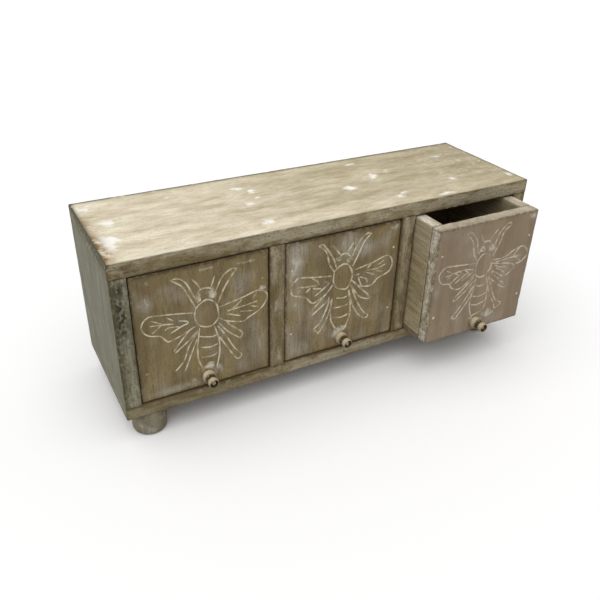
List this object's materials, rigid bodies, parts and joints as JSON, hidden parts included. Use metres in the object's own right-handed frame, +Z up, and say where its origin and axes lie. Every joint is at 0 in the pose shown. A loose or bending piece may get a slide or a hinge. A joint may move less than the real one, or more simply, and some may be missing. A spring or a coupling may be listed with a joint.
{
  "type": "tabletop drawer chest",
  "caption": "Long low tabletop chest of inset wooden drawers on short turned feet. Each drawer slides out by a small turned knob to hold small things.",
  "frame": {"origin": "on the surface that the feet stand on, under the middle of the whole chest as it rests with its right drawer part open", "axes": "+X to the right along the chest, +Y from the front to the back, +Z up"},
  "size_m": [0.35, 0.1492, 0.1455],
  "materials": {
    "top_wood": "whitewashed hardwood, planed, matt",
    "frame_wood": "whitewashed hardwood, sanded, matt",
    "drawer_front_wood": "whitewashed hardwood, line-carved, matt",
    "drawer_box_wood": "sawn hardwood, thin wash",
    "panel_wood": "thin sawn panel, thin wash",
    "knob_wood": "turned hardwood, whitewashed",
    "pin_steel": "drawn wire, set flush and filled",
    "screw_iron": "darkened steel"
  },
  "bodies": {
    "carcass": {"top_board": "top_wood", "base_board": "frame_wood", "left_side": "frame_wood", "right_side": "frame_wood", "left_divider": "frame_wood", "right_divider": "frame_wood", "back_panel": "panel_wood", "front_left_foot": "frame_wood", "front_right_foot": "frame_wood", "back_left_foot": "frame_wood", "back_right_foot": "frame_wood", "top_pins": "pin_steel", "base_pins": "pin_steel", "back_panel_pins": "pin_steel", "foot_pins": "pin_steel"},
    "left_drawer": {"left_drawer_front": "drawer_front_wood", "left_drawer_left_side": "drawer_box_wood", "left_drawer_right_side": "drawer_box_wood", "left_drawer_back": "drawer_box_wood", "left_drawer_bottom": "panel_wood", "left_drawer_knob": "knob_wood", "left_drawer_knob_screw": "screw_iron", "left_drawer_front_pins": "pin_steel", "left_drawer_back_pins": "pin_steel", "left_drawer_bottom_pins": "pin_steel"},
    "middle_drawer": {"middle_drawer_front": "drawer_front_wood", "middle_drawer_left_side": "drawer_box_wood", "middle_drawer_right_side": "drawer_box_wood", "middle_drawer_back": "drawer_box_wood", "middle_drawer_bottom": "panel_wood", "middle_drawer_knob": "knob_wood", "middle_drawer_knob_screw": "screw_iron", "middle_drawer_front_pins": "pin_steel", "middle_drawer_back_pins": "pin_steel", "middle_drawer_bottom_pins": "pin_steel"},
    "right_drawer": {"right_drawer_front": "drawer_front_wood", "right_drawer_left_side": "drawer_box_wood", "right_drawer_right_side": "drawer_box_wood", "right_drawer_back": "drawer_box_wood", "right_drawer_bottom": "panel_wood", "right_drawer_knob": "knob_wood", "right_drawer_knob_screw": "screw_iron", "right_drawer_front_pins": "pin_steel", "right_drawer_back_pins": "pin_steel", "right_drawer_bottom_pins": "pin_steel"}
  },
  "joints": [
    {"name": "left_drawer_slide", "type": "slide", "parent": "carcass", "child": "left_drawer", "axis": [0, -1, 0], "range_m": [0, 0.085]},
    {"name": "middle_drawer_slide", "type": "slide", "parent": "carcass", "child": "middle_drawer", "axis": [0, -1, 0], "range_m": [0, 0.085]},
    {"name": "right_drawer_slide", "type": "slide", "parent": "carcass", "child": "right_drawer", "axis": [0, -1, 0], "range_m": [-0.03, 0.055]}
  ]
}
